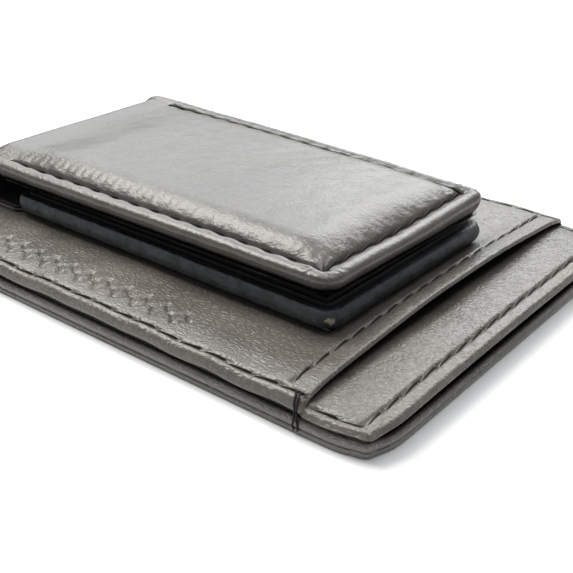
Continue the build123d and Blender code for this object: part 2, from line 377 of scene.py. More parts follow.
# ---- stitches ------------------------------------------------------------------------------------
@dataclass(frozen=True)
class Row:
    """A straight row of stitches, seen from above.

    Args:
        start, end: first and last point of the row.
        pitch: wanted distance between needle holes.
    """

    start: tuple[float, float]
    end: tuple[float, float]
    pitch: float = 3.9

    @property
    def run(self) -> tuple[Array, float]:
        """The row's direction and its length."""
        step = np.subtract(self.end, self.start)
        size = float(np.hypot(*step))
        return step / size, size

    @property
    def count(self) -> int:
        """How many stitches the row has."""
        return max(1, round(self.run[1] / self.pitch))

    def local(self, x: Array, y: Array) -> tuple[Array, Array, Array]:
        """Turns points into the row's own measure.

        Args:
            x, y: places seen from above.

        Returns:
            The distance along the row counted in stitches, the distance off its line, and how far past its
            ends each point lies.
        """
        direction, size = self.run
        dx, dy = x - self.start[0], y - self.start[1]
        along = dx * direction[0] + dy * direction[1]
        across = dy * direction[0] - dx * direction[1]
        return along / size * self.count, across, np.maximum(np.maximum(-along, along - size), 0.0)

    def press(self, x: Array, y: Array, depth: float, width: float, hole: float) -> Array:
        """How far the row pulls the leather down: a valley along it, and a dimple at every needle hole.

        Args:
            x, y: places seen from above.
            depth: depth of the valley.
            width: its half width, which is twice the dimples'.
            hole: extra depth at the needle holes.

        Returns:
            The depth at each point.
        """
        along, across, past = self.local(x, y)
        near_hole = (along - np.round(along)) * self.run[1] / self.count
        valley = depth * hump(across, 0, width) * (0.8 + 0.2 * np.cos(2 * math.pi * along))
        dimple = hole * hump(np.hypot(across, near_hole), 0, 0.5 * width)
        return (valley + dimple) * hump(past, 0, width)

    def threads(self, height: Height, lift: float = 0.08, slant: float = 0.26, dip: float = 0.16,
                points: int = 9) -> Array:
        """Centre lines of the stitches, which rise out of one hole, lie on the leather and dip into the next.

        Args:
            height: the leather's height at x, y.
            lift: how far the middle of the thread lies above the leather.
            slant: how far each end stands off the row's line.
            dip: how far each end lies below the leather.
            points: points in one stitch.

        Returns:
            (stitches, points, 3) points.
        """
        direction, size = self.run
        share = np.linspace(0.03, 0.97, points)
        along = (np.arange(self.count)[:, None] + share) * size / self.count
        across = slant * (2 * share - 1)
        x = self.start[0] + along * direction[0] - across * direction[1]
        y = self.start[1] + along * direction[1] + across * direction[0]
        arch = 1 - (2 * share - 1) ** 4
        return surface(x, y, height(x, y) + lift * arch - dip * (1 - arch))


# ---- finishes ------------------------------------------------------------------------------------
def linear(code: str) -> tuple[float, float, float, float]:
    """Turns the six hex digits of an sRGB colour into linear red, green and blue, with full alpha."""
    parts = [int(code[k:k + 2], 16) / 255 for k in (0, 2, 4)]
    return (*(c / 12.92 if c <= 0.04045 else ((c + 0.055) / 1.055) ** 2.4 for c in parts), 1.0)


def feed(material: bpy.types.Material, node: bpy.types.Node, links: dict, **settings) -> bpy.types.Node:
    """Sets a node's properties and inputs, and links it to others.

    Args:
        material: the material that holds the node.
        node: the node.
        links: input name or number to (node, output name or number).
        settings: node properties, or input values under in_NAME or in_NUMBER, with _ for a space.

    Returns:
        The node.
    """
    for key, value in settings.items():
        if key.startswith("in_"):
            name = key[3:].replace("_", " ")
            node.inputs[int(name) if name.isdigit() else name].default_value = value
        else:
            setattr(node, key, value)
    for key, (source, output) in links.items():
        material.node_tree.links.new(source.outputs[output], node.inputs[key])
    return node


def add(material: bpy.types.Material, kind: str, links: dict, **settings) -> bpy.types.Node:
    """Adds a node of a kind, named without its ShaderNode prefix; see feed."""
    return feed(material, material.node_tree.nodes.new("ShaderNode" + kind), links, **settings)


def ramp(material: bpy.types.Material, source: tuple, *stops: tuple) -> bpy.types.Node:
    """A colour ramp driven by (node, output), with two stops of (position, linear colour)."""
    node = add(material, "ValToRGB", {"Fac": source})
    for mark, (position, colour) in zip(node.color_ramp.elements, stops):
        mark.position, mark.color = position, colour
    return node


def fresh(name: str) -> tuple[bpy.types.Material, bpy.types.Node, tuple]:
    """An empty node material, its Principled shader and the output that gives places in millimetres."""
    material = bpy.data.materials.new(name)
    material.use_nodes = True
    where = add(material, "TexCoord", {})
    scaled = add(material, "Mapping", {"Vector": (where, "Object")}, in_Scale=(1 / MM,) * 3)
    return material, material.node_tree.nodes["Principled BSDF"], (scaled, 0)


@dataclass(frozen=True)
class NappaLeather:
    """Chrome-tanned lamb nappa, pigmented dark taupe and rolled to a soft sheen.

    The pigment hides the hide's own colour, so the eye sees an even brown with a broad satin highlight, fine
    wrinkled cells under a millimetre across, and soft pulls where the skin was stretched.

    Args:
        name: the material's name.
        base: main colour.
        worn: colour of the worn, lighter places.
        painted_shade: near-black colour that the attribute inner mixes in as painted shade.
        cell: size of the wrinkled cells in millimetres.
        cell_depth: strength of the cells in the bump.
        pull: strength of the long soft pulls.
        roughness: middle roughness.
        gloss: the shader's specular level.
    """

    name: str
    base: str = "5a554f"
    worn: str = "6c655e"
    painted_shade: str = "0a0908"
    cell: float = 0.62
    cell_depth: float = 0.6
    pull: float = 0.25
    roughness: float = 0.38
    gloss: float = 0.7

    def make(self) -> bpy.types.Material:
        """Builds the material."""
        m, shader, spot = fresh(self.name)
        cloud = add(m, "TexNoise", {"Vector": spot}, in_Scale=0.12, in_Detail=5.0)
        mottled = ramp(m, (cloud, "Fac"), (0.35, linear(self.base)), (0.7, linear(self.worn)))
        drift = add(m, "TexNoise", {"Vector": spot}, in_Scale=0.5, in_Detail=2.0)
        moved = add(m, "VectorMath", {0: (drift, "Color")}, operation="SCALE", in_Scale=1.6)
        bent = add(m, "VectorMath", {0: spot, 1: (moved, 0)}, operation="ADD")
        turn, size = (0.0, 0.0, math.radians(-35)), (0.55 / self.cell, 1.0 / self.cell, 0.8 / self.cell)
        stretch = add(m, "Mapping", {"Vector": (bent, 0)}, in_Rotation=turn, in_Scale=size)
        cells = add(m, "TexVoronoi", {"Vector": (stretch, 0)}, feature="DISTANCE_TO_EDGE", in_Scale=1.0)
        apart = {"Value": (cells, "Distance")}
        domed = add(m, "MapRange", apart, interpolation_type="SMOOTHSTEP", in_From_Max=0.35)
        pores = add(m, "TexNoise", {"Vector": spot}, in_Scale=3.2, in_Detail=4.0)
        pulls = add(m, "TexNoise", {"Vector": (stretch, 0)}, in_Scale=0.22, in_Detail=3.0)
        shades = {6: (mottled, 0), 7: (domed, 0)}
        tint = add(m, "Mix", shades, data_type="RGBA", blend_type="MULTIPLY", in_0=0.22)
        # Painted shade: the attribute inner mixes the near-black colour in where shade falls: stitch valleys,
        # openings, undersides, under the clip pad.
        inner = add(m, "Attribute", {}, attribute_name="inner")
        shade_mixed = add(m, "Mix", {0: (inner, "Fac"), 6: (tint, 2)}, data_type="RGBA", in_7=linear(self.painted_shade))
        grain = add(m, "Bump", {"Height": (domed, 0)}, in_Strength=self.cell_depth, in_Distance=0.00007)
        fine = {"Height": (pores, "Fac"), "Normal": (grain, 0)}
        fine = add(m, "Bump", fine, in_Strength=0.3, in_Distance=0.0001)
        long = {"Height": (pulls, "Fac"), "Normal": (fine, 0)}
        long = add(m, "Bump", long, in_Strength=self.pull, in_Distance=0.0006)
        low, high = self.roughness - 0.06, self.roughness + 0.08
        gloss = add(m, "MapRange", {"Value": (cloud, "Fac")}, in_To_Min=low, in_To_Max=high)
        links = {"Base Color": (shade_mixed, 2), "Roughness": (gloss, 0), "Normal": (long, 0)}
        feed(m, shader, links, in_IOR=1.5, in_Specular_IOR_Level=self.gloss)
        return m


@dataclass(frozen=True)
class PlainFinish:
    """A finish with one main colour, a second colour in patches and a fine bump.

    Args:
        name: the material's name.
        base: main colour.
        patch: colour of the patches.
        patch_size: size of a patch in millimetres.
        roughness: roughness.
        bump: strength of the fine bump.
        bump_size: size of its grains in millimetres.
        metallic: 1 for a metal.
        alpha: less than 1 for a clear film.
    """

    name: str
    base: str
    patch: str
    patch_size: float = 3.0
    roughness: float = 0.6
    bump: float = 0.3
    bump_size: float = 0.3
    metallic: float = 0.0
    alpha: float = 1.0

    def make(self) -> bpy.types.Material:
        """Builds the material."""
        m, shader, spot = fresh(self.name)
        cloud = add(m, "TexNoise", {"Vector": spot}, in_Scale=1 / self.patch_size, in_Detail=4.0)
        colour = ramp(m, (cloud, "Fac"), (0.42, linear(self.base)), (0.68, linear(self.patch)))
        speck = add(m, "TexNoise", {"Vector": spot}, in_Scale=1 / self.bump_size, in_Detail=3.0)
        bump = add(m, "Bump", {"Height": (speck, "Fac")}, in_Strength=self.bump, in_Distance=0.0001)
        links = {"Base Color": (colour, 0), "Normal": (bump, 0)}
        feed(m, shader, links, in_Roughness=self.roughness, in_Metallic=self.metallic, in_Alpha=self.alpha)
        return m


@dataclass(frozen=True)
class EdgePaint:
    """Leather wrapped over board and painted with several coats of edge paint.

    The paint is a matte blue-black with slight sags. Where it has chipped, the beige leather under it shows.

    Args:
        name: the material's name.
        paint: main colour.
        thin: colour where the paint lies thin.
        bare: colour of the leather under a chip.
    """

    name: str
    paint: str = "1b1f21"
    thin: str = "394044"
    bare: str = "8d8274"

    def make(self) -> bpy.types.Material:
        """Builds the material."""
        m, shader, spot = fresh(self.name)
        cloud = add(m, "TexNoise", {"Vector": spot}, in_Scale=0.7, in_Detail=5.0)
        colour = ramp(m, (cloud, "Fac"), (0.35, linear(self.paint)), (0.7, linear(self.thin)))
        worn = add(m, "Attribute", {}, attribute_name="wear")
        ragged = add(m, "TexNoise", {"Vector": spot}, in_Scale=1.9, in_Detail=6.0, in_Roughness=0.7)
        both = add(m, "Math", {0: (worn, "Fac"), 1: (ragged, "Fac")}, operation="MULTIPLY")
        chip = ramp(m, (both, 0), (0.3, (0, 0, 0, 1)), (0.4, (1, 1, 1, 1)))
        mixed = add(m, "Mix", {0: (chip, 0), 6: (colour, 0)}, data_type="RGBA", in_7=linear(self.bare))
        sag = add(m, "Bump", {"Height": (cloud, "Fac")}, in_Strength=0.5, in_Distance=0.0004)
        grit = {"Height": (ragged, "Fac"), "Normal": (sag, 0)}
        grit = add(m, "Bump", grit, in_Strength=0.6, in_Distance=0.0003)
        gloss = add(m, "MapRange", {"Value": (cloud, "Fac")}, in_To_Min=0.24, in_To_Max=0.44)
        links = {"Base Color": (mixed, 2), "Normal": (grit, 0), "Roughness": (gloss, 0)}
        feed(m, shader, links, in_Specular_IOR_Level=0.5)
        return m


class Finishes:
    """Every finish of the wallet, made once."""

    def __init__(self) -> None:
        """Makes the materials."""
        self.nappa = NappaLeather("nappa_leather_taupe").make()
        self.flap_nappa = NappaLeather(
            "nappa_leather_flap", base="4b4641", worn="5d5750", cell_depth=0.25, pull=0.12, roughness=0.33,
        ).make()
        self.back_nappa = NappaLeather(
            "nappa_leather_lower", base="6a6661", worn="79746e", roughness=0.28,
        ).make()
        self.black_leather = NappaLeather(
            "nappa_leather_black", base="0f1114", worn="15181c", cell_depth=0.25, roughness=0.34, gloss=0.45,
        ).make()
        self.edge = EdgePaint("edge_paint_blue_black").make()
        self.lining = PlainFinish(
            "black_polyester_lining", "0b0b0d", "141416", roughness=0.7, bump=0.4, bump_size=0.15,
        ).make()
        self.thread = PlainFinish(
            "bonded_polyester_thread", "0d0b0a", "1a1614", 0.8, roughness=0.85, bump=0.6, bump_size=0.2,
        ).make()
        self.film = PlainFinish(
            "clear_vinyl_film", "d5dadd", "e4e8ea", 9.0, roughness=0.12, bump=0.1, alpha=0.3,
        ).make()
        self.board = PlainFinish(
            "pressed_leather_fibre_board", "6b543a", "4f3d2a", 1.0, roughness=0.85,
        ).make()
        self.nickel = PlainFinish(
            "nickel_plated_magnet", "c5c3bc", "b4b2aa", roughness=0.22, bump=0.05, metallic=1.0,
        ).make()
        self.foam = PlainFinish("closed_cell_foam", "9a9a94", "888882", 1.0, roughness=0.95, bump=0.6).make()


class Slot(Enum):
    """The record's material slots."""

    LEATHER = "brown_leather"
    EDGE = "painted_edge_leather"
    LINING = "black_lining"
    FILM = "clear_film"
    BOARD = "fibre_board"
    MAGNET = "magnet_nickel"
    FOAM = "foam"
    THREAD = "dark_thread"


# ---- pieces of the frame -------------------------------------------------------------------------
def place(piece: bpy.types.Object, material: bpy.types.Material, body: str, slot: Slot, *nodes: str) -> None:
    """Dresses a piece, puts it on its body and lets it stand for its CAD nodes.

    Args:
        piece: the new piece.
        material: its finish.
        body: the body that it moves with.
        slot: not used.
        nodes: the CAD nodes that it stands for.
    """
    piece.data.materials.append(material)
    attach(piece, body)
    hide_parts(*nodes)
    log.info("%s: %d faces on %s", piece.name, len(piece.data.polygons), body)


def thread(node: str, paths: Array, finishes: Finishes, body: str, radius: float = 0.15) -> None:
    """Makes one node's stitches as round threads, narrower at both ends.

    Each ring of six points lies across its path, in the plane of the level sideways direction and its normal.

    Args:
        node: the CAD node that they stand for.
        paths: (stitches, points, 3) centre lines.
        finishes: the materials.
        body: the body that they move with.
        radius: radius of the thread.
    """
    share = np.linspace(-1, 1, paths.shape[1])
    radii = radius * np.maximum(np.sqrt(np.maximum(1 - share ** 8, 0.0)), 0.25)
    along = np.gradient(paths, axis=1)
    along /= np.maximum(np.linalg.norm(along, axis=2, keepdims=True), TINY)
    side = np.cross(along, np.array([0.0, 0.0, 1.0]))
    flat = np.linalg.norm(side, axis=2, keepdims=True)
    side = np.where(flat < 1e-3, np.array([1.0, 0.0, 0.0]), side / np.maximum(flat, TINY))
    turn = np.linspace(0, 2 * math.pi, 6, endpoint=False)[:, None]
    ring = side[:, :, None] * np.cos(turn) + np.cross(side, along)[:, :, None] * np.sin(turn)
    piece = swept(node + "_thread", paths[:, :, None] + ring * radii[:, None, None])
    place(piece, finishes.thread, body, Slot.THREAD, node)


def places(mesh: bpy.types.Mesh) -> Array:
    """The (n, 3) points of a mesh."""
    points = np.zeros(len(mesh.vertices) * 3)
    mesh.vertices.foreach_get("co", points)
    return points.reshape(-1, 3) / MM


def bent_copy(node: str, name: str, shift: Height) -> bpy.types.Object:
    """A copy of a CAD node's shape, under a new name, lifted by shift(x, y) at every point."""
    shape = bmesh.new()
    shape.from_mesh(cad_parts[node].data)
    bmesh.ops.remove_doubles(shape, verts=shape.verts, dist=1e-7)
    mesh = bpy.data.meshes.new(name)
    shape.to_mesh(mesh)
    shape.free()
    points = places(mesh)
    points[:, 2] += shift(points[:, 0], points[:, 1])
    mesh.vertices.foreach_set("co", (points * MM).reshape(-1))
    mesh.update()
    return link(bpy.data.objects.new(name, mesh))


def dress_node(node: str, material: bpy.types.Material) -> None:
    """Gives a CAD node that stays a finished material."""
    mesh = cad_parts[node].data
    mesh.materials.clear()
    mesh.materials.append(material)
    log.info("%s keeps its frame shape", node)


def mark_wear(piece: bpy.types.Object, spots: tuple) -> None:
    """Stores how worn each point of a piece is, as the sum of soft ellipsoids of (centre, reach)."""
    points, total = places(piece.data), 0.0
    for centre, reach in spots:
        total = total + np.exp(-(((points - centre) / reach) ** 2).sum(axis=1))
    store(piece, "wear", np.clip(total, 0, 1))


def ends(low: float, high: float, reach: float, spacing: float) -> tuple:
    """Closer grid lines at both ends of a range; see lines."""
    return (low, reach, spacing), (high, reach, spacing)


# ---- the wallet under the clip -------------------------------------------------------------------
FRONT_ROWS = ("near_edge_stitches", "far_edge_stitches", "mouth_stitches")


@dataclass
class Wallet:
    """The flat card wallet: two halves, each of two leathers, sewn round a black compartment.

    Args:
        finishes: the materials.
        edge_roll: radius of the front panel's turned edges along its sides.
        mouth_roll: radius of its edge at the mouth.
        wrap: how far the turned leather reaches down over the panel behind.
        wrapped: how much narrower the panel behind is, on each side, where it is wrapped.
        pinch: how far the open end's corners are drawn in.
        pinch_reach: how far round the corners this is felt.
        back_pinch: how much more strongly the lower half's corners are drawn in.
        mouth_lift: how far the front panel's mouth stands off the panel behind it, half way across.
        lift_reach: how far in from the mouth the leather starts to lift.
        open_reach: how far in from the mouth the open end starts to bow.
        wander: how far the sewn long sides wander up and down.
        valley: depth of the leather along a row of stitches.
        valley_width: half width of that valley.
        hole: extra depth at a needle hole.
        lens: how far the open end's two halves bow apart, half way across.
        grid: usual spacing of the front panel's points.
        showing: middle, reach and spacing of the closer points where the slot panel shows beyond the mouth.
        window: half length, half width and corner radius of the window in the underside.
        lozenges: how many lozenges are pressed into the front panel.
        lozenge_start: the middle of the first one.
        lozenge_half: half its length and half its width.
        lozenge_pitch: distance from one to the next.
        lozenge_depth: depth of its line.
        lozenge_line, lozenge_dot: width of its line in parts of the lozenge, and of the point beside it.
    """

    finishes: Finishes
    edge_roll: float = 0.95
    mouth_roll: float = 0.45
    wrap: float = 0.95
    wrapped: float = 0.42
    pinch: float = 0.9
    pinch_reach: float = 3.5
    back_pinch: float = 1.3
    mouth_lift: float = 1.9
    lift_reach: float = 8.5
    open_reach: float = 6.0
    wander: float = 0.17
    valley: float = 0.38
    valley_width: float = 0.34
    hole: float = 0.3
    lens: float = 0.45
    grid: float = 0.5
    showing: tuple = (46.4, 5.6, 0.4)
    window: tuple = (36.0, 21.5, 4.0)
    lozenges: int = 11
    lozenge_start: tuple = (-18.0, -29.9)
    lozenge_half: tuple = (1.3, 1.6)
    lozenge_pitch: float = 3.6
    lozenge_depth: float = 0.34
    lozenge_line: float = 0.23
    lozenge_dot: float = 0.28

    def __post_init__(self) -> None:
        """Reads the frame's places and lays out the stitch rows."""
        self.front_high = span("front_panel")[1]
        self.slot_high = span("front_slot_panel")[1]
        self.mouth_x = self.front_high.x
        self.side_y = -sum(c.y for c in span("near_edge_stitches")) / 2
        self.mouth_row_x = sum(c.x for c in span("mouth_stitches")) / 2
        self.end_x = span("slot_panel_stitches")[1].x - 0.25
        closed_x = sum(c.x for c in span("closed_end_stitches")) / 2
        mouth_x, side_y, end_x, row_x = self.mouth_x, self.side_y, self.end_x, self.mouth_row_x
        self.rows = {
            "near_edge_stitches": [Row((closed_x, -side_y), (mouth_x - 0.4, -side_y))],
            "far_edge_stitches": [Row((closed_x, side_y), (mouth_x - 0.4, side_y))],
            "closed_end_stitches": [Row((closed_x, -side_y), (closed_x, side_y))],
            "mouth_stitches": [Row((row_x, 1.2 - side_y), (row_x, side_y - 1.2))],
            "slot_panel_stitches": [
                Row((end_x, -side_y), (end_x, side_y)),
                Row((mouth_x + 0.6, -side_y), (end_x, -side_y)),
                Row((mouth_x + 0.6, side_y), (end_x, side_y)),
            ],
        }
        self.under_rows = [
            Row((closed_x, -side_y), (end_x, -side_y)),
            Row((closed_x, side_y), (end_x, side_y)),
            Row((closed_x, -side_y), (closed_x, side_y)),
        ]

    def pressed(self, names: tuple, x: Array, y: Array) -> Array:
        """The greatest depth at x, y to which any row of the named stitches pulls the leather down."""
        rows = [row for name in names for row in self.rows[name]]
        return np.maximum.reduce([row.press(x, y, self.valley, self.valley_width, self.hole) for row in rows])

    def groove_shade(self, names: tuple, x: Array, y: Array) -> Array:
        """Painted shade along the named stitches at x, y: how far their valleys are darkened towards near
        black.
        """
        return 0.4 * smooth(0.2, 0.42, self.pressed(names, x, y))

    def side(self, y: Array) -> Array:
        """Distance in from the nearer long side."""
        return np.clip(self.slot_high.y - np.abs(y), 0.0, None)

    def bow(self, y: Array) -> Array:
        """1 half way across the wallet, 0 at its long sides, as 1 − (y / half width)²."""
        return 1 - (y / self.slot_high.y) ** 2

    def opened(self, x: Array) -> Array:
        """The share of the way to the open end."""
        return smooth(self.mouth_x - self.open_reach, self.slot_high.x, x)

    def lifted(self, x: Array, y: Array) -> Array:
        """How far the front panel is lifted towards its mouth."""
        return self.mouth_lift * self.bow(y) * smooth(self.mouth_x - self.lift_reach, self.mouth_x, x) ** 1.3

    def waver(self, x: Array, y: Array) -> Array:
        """How the sewn long sides wander up and down, fading out 7 mm in from each."""
        return self.wander * ripple(x, 0.2 * y, 10.0, 71) * fall(0.0, 7.0, self.side(y))

    def ornament(self, x: Array, y: Array) -> Array:
        """Depth of the pressed row of lozenges on the front panel.

        A lozenge is |dx| / a + |dy| / b; its line is a narrow valley where that sum is 1, with a small
        pressed point between neighbours.

        Args:
            x, y: places seen from above.

        Returns:
            The depth at each point.
        """
        start_x, middle_y = self.lozenge_start
        half_x, half_y = self.lozenge_half
        pitch = self.lozenge_pitch
        index = np.clip(np.round((x - start_x) / pitch), 0, self.lozenges - 1)
        dx, dy = np.abs(x - (start_x + index * pitch)), np.abs(y - middle_y)
        line = hump(dx / half_x + dy / half_y, 1, self.lozenge_line)
        middle_x, half_run = start_x + (self.lozenges - 1) * pitch / 2, self.lozenges * pitch / 2
        dot = hump(np.hypot(dx - pitch / 2, dy), 0, self.lozenge_dot)
        return self.lozenge_depth * np.maximum(line, dot * (np.abs(x - middle_x) < half_run))

    def front_top(self, x: Array, y: Array) -> Array:
        """Height of the front panel's outer face.

        The flat top, less the dip at the long sides and the stitch valleys, plus the lifted mouth.

        Args:
            x, y: places seen from above.

        Returns:
            The height at each point.
        """
        dip = 0.3 * fall(0.0, 5.0, self.side(y)) + self.pressed((*FRONT_ROWS, "closed_end_stitches"), x, y)
        waves = 0.05 * ripple(x, y, 13.0, 4) + 0.018 * ripple(x, y, 3.2, 5) + self.waver(x, y)
        return self.front_high.z + self.lifted(x, y) - dip + waves - self.ornament(x, y)

    def slot_top(self, x: Array, y: Array) -> Array:
        """Height of the slot panel's outer face at x, y, which shows beyond the mouth."""
        dip = (0.28 + 0.2 * self.opened(x)) * fall(0.0, 6.0, self.side(y))
        waves = 0.05 * ripple(x, y, 12.0, 8) + 0.015 * ripple(x, y, 3.0, 9) + self.waver(x, y)
        bowed = self.lens * self.bow(y) * self.opened(x)
        return self.slot_high.z + bowed - dip + waves - self.pressed(("slot_panel_stitches",), x, y)

    def drawn_in(self, x: Array, y: Array, share: float = 1.0) -> tuple[Array, Array]:
        """Draws the wallet's two open-end corners in, as their tight stitches do.

        Args:
            x, y: places seen from above.
            share: how strongly they are drawn in.

        Returns:
            X and Y, moved inwards by share · pinch · exp(−(distance / reach)²), by distance from the corner.
        """
        away = np.hypot(x - self.slot_high.x, np.abs(y) - self.slot_high.y)
        pull = share * self.pinch * hump(away, 0, self.pinch_reach)
        return x - pull, y - 0.8 * np.sign(y) * pull

    def build_front_panel(self) -> None:
        """Makes the front panel.

        Its turned leather wraps down over the panel behind it along three sides. At the mouth it is lifted,
        and its edge turns under. Stitch valleys and the pressed lozenges are in its top.
        """
        low, high, outline = outlined("front_panel", 0.6, 2.5)
        run = self.lozenges * self.lozenge_pitch / 2 + 1.0
        fine_x = ((low.x, 1.2, 0.15), (high.x, 1.2, 0.13), (self.mouth_row_x, 0.7, 0.17), (0.0, run, 0.27))
        fine_y = (
            (low.y, 1.3, 0.15), (high.y, 1.2, 0.15), (-self.side_y, 0.6, 0.15), (self.side_y, 0.6, 0.18),
            (self.lozenge_start[1], self.lozenge_half[1] + 0.5, 0.2),
        )
        x, y, d = outline.grid(self.grid, self.grid, fine_x, fine_y)
        at_mouth = smooth(high.x - 2.0, high.x - 0.6, x) * smooth(0.3, 1.6, self.side(y))
        rounded = roll(d, self.edge_roll) * (1 - at_mouth) + roll(d, self.mouth_roll) * at_mouth
        top = self.front_top(x, y) - rounded
        wrap = self.wrap * fall(0.28, 0.36, d) * (1 - at_mouth)
        bottom = low.z + GAP + self.lifted(x, y) + roll(d, 0.3) * at_mouth - wrap + self.waver(x, y)
        bottom = np.minimum(bottom, top - 0.14)
        tucked = x - 0.75 * at_mouth * fall(0.0, 1.6, high.x - x)
        # Painted shade: stitch valleys on top, and the underside, fully under the lifted mouth, darkened
        # towards near black.
        inner = self.groove_shade(FRONT_ROWS, x, y), np.maximum(at_mouth, smooth(0.3, 0.9, d))
        upper, lower = surface(x, y, top), surface(tucked, y, bottom)
        piece = closed_sheet("front_panel_leather", upper, lower, 3, 0.08 + 0.1 * at_mouth, inner)
        place(piece, self.finishes.nappa, "wallet", Slot.LEATHER, "front_panel")

    def build_slot_panel(self) -> None:
        """Makes the slot panel behind the front panel, drawn in where the front panel wraps round it."""
        low, high, outline = outlined("front_slot_panel", 1.2, 2.2)
        fine_x = ((low.x, 1.5, 0.25), self.showing, (high.x, 1.0, 0.14), (self.end_x, 0.7, 0.17))
        fine_y = (*ends(low.y, high.y, 1.0, 0.16), (-self.side_y, 0.7, 0.17), (self.side_y, 0.7, 0.2))
        x, y, d = outline.grid(2.0, 0.55, fine_x, fine_y)
        covered = fall(self.mouth_x - 0.6, self.mouth_x + 0.1, x)
        hidden = 0.25 * fall(self.mouth_x - 3.0, self.mouth_x - 1.0, x) * smooth(0.5, 3.0, d)
        seam = 0.3 * fall(0.0, 4.0, self.side(y)) + 0.25 * fall(0.0, 4.0, x - low.x)
        bottom = low.z + self.lens * self.bow(y) * self.opened(x) - seam + roll(d, 0.35) + self.waver(x, y)
        top = np.maximum(self.slot_top(x, y) - hidden - roll(d, 0.6), bottom + 0.15)
        away_x, away_y = high.x - x, high.y - np.abs(y)
        pleats = 0.1 * np.sin(7.0 * np.arctan2(away_y, away_x)) * hump(np.hypot(away_x, away_y), 1.2, 1.0)
        # Painted shade: stitch valleys, the leather just under the front panel's mouth, and the underside
        # darkened so the openings read dark.
        groove = self.groove_shade(("slot_panel_stitches",), x, y)
        pocket = fall(self.mouth_x - 0.9, self.mouth_x - 0.4, x) * smooth(0.5, 1.0, d)
        x, y = self.drawn_in(x, y * (1 - self.wrapped / high.y * covered))
        x = x + self.wrapped * fall(0.0, 3.0, x - low.x)
        upper, lower = surface(x, y, top + pleats), surface(x, y, bottom)
        inner = np.maximum(groove, pocket), smooth(0.2, 0.7, d)
        piece = closed_sheet("front_slot_panel_leather", upper, lower, 2, 0.1, inner)
        place(piece, self.finishes.nappa, "wallet", Slot.LEATHER, "front_slot_panel")

    def build_lower_half(self) -> None:
        """Makes the two leathers of the lower half; the outer one has the window."""
        low, high, outline = outlined("back_slot_panel", 0.9, 2.5)
        fine_x, fine_y = ((low.x, 1.0, 0.16), (high.x, 1.6, 0.16)), ends(low.y, high.y, 1.0, 0.16)
        x, y, d = outline.grid(1.5, 1.2, fine_x, fine_y)
        seam = 0.16 * fall(0.0, 4.0, self.side(y))
        top = high.z - 0.3 * self.bow(y) * self.opened(x) + seam - roll(d, 0.5)
        bottom = span("back_panel")[1].z + roll(d, 0.1)
        x, y = self.drawn_in(x, y, self.back_pinch)
        # Painted shade: the top face, which looks into the open end, is darkened towards near black in from
        # its rim.
        upper, lower, inner = surface(x, y, top), surface(x, y, bottom), (smooth(0.45, 0.9, d), 0.0)
        piece = closed_sheet("back_slot_panel_leather", upper, lower, 1, 0.06, inner)
        place(piece, self.finishes.back_nappa, "wallet", Slot.LEATHER, "back_slot_panel")
        self.build_back_panel()
        low, high, outline = outlined("id_window_film", self.window[2])
        x, y, d = outline.grid(1.2, 1.2)
        wave = 0.03 * ripple(x, y, 16.0, 12) * smooth(4.0, 8.0, d)
        upper, lower = surface(x, y, high.z - 0.28 + wave), surface(x, y, low.z - 0.14 + wave)
        film = closed_sheet("id_window_vinyl", upper, lower)
        place(film, self.finishes.film, "wallet", Slot.FILM, "id_window_film")

    def build_back_panel(self) -> None:
        """Makes the outer leather of the underside as a ring between the outline and the window.

        The section runs along the underside from the window's lip to the rim, round the rim on a half
        ellipse, back along the top and round the lip on another. Stitch rows press the underside upwards.
        """
        low, high, outline = outlined("back_panel", 1.0)
        half_x, half_y, corner = self.window
        outer = outline.loop(230, 160, 8)
        inner = Outline(-half_x, half_x, -half_y, half_y, corner).loop(230, 160, 8)
        size = np.linalg.norm(outer - inner, axis=1)[:, None]
        rim, lip, fine, half = 0.42, 0.3, 3.2, high.z / 2
        turn = np.linspace(0, math.pi, 7)[1:-1]
        share = np.linspace(0, 1, 12)[:-1]
        flat = np.concatenate([lip + share * (size - lip - fine), size - np.linspace(fine, rim, 15)], axis=1)
        rounded, lipped = size - rim + rim * np.sin(turn), lip - lip * np.sin(turn) + 0 * size
        reach = np.concatenate([flat, rounded, flat[:, ::-1], lipped], axis=1)
        level = 0 * flat[0]
        z = np.concatenate([level + low.z, half - half * np.cos(turn), level + high.z - GAP,
                            half + half * np.cos(turn)])
        xy = inner[:, None] + ((outer - inner) / size)[:, None] * reach[:, :, None]
        x, y = xy[..., 0], xy[..., 1]
        pressed = [row.press(x, y, self.valley, self.valley_width, 0.2) for row in self.under_rows]
        z = np.where(z < half, np.minimum(z + np.maximum.reduce(pressed), half), z)
        x, y = self.drawn_in(x, y, self.back_pinch)
        piece = swept("back_panel_leather", surface(x, y, z)[None], endless=True)
        outward(piece)
        place(piece, self.finishes.back_nappa, "wallet", Slot.LEATHER, "back_panel")

    def build_linings(self) -> None:
        """Makes the black cloth of the compartment and of the front pocket."""
        for node, name, bow in (
            ("lower_compartment_lining", "lower_compartment_cloth", 0.0),
            ("upper_compartment_lining", "upper_compartment_cloth", self.lens),
            ("front_pocket_lining", "front_pocket_cloth", 0.0),
        ):
            low, high, outline = outlined(node, 0.8)
            x, y, _ = outline.grid(1.5, 1.2)
            wave = 0.02 * ripple(x, y, 9.0, 21) + bow * self.bow(y) * self.opened(x)
            upper, lower = surface(x, y, high.z + wave - 0.03), surface(x, y, low.z + wave + 0.03)
            piece = closed_sheet(name, upper, lower)
            place(piece, self.finishes.lining, "wallet", Slot.LINING, node)
        self.build_gusset()

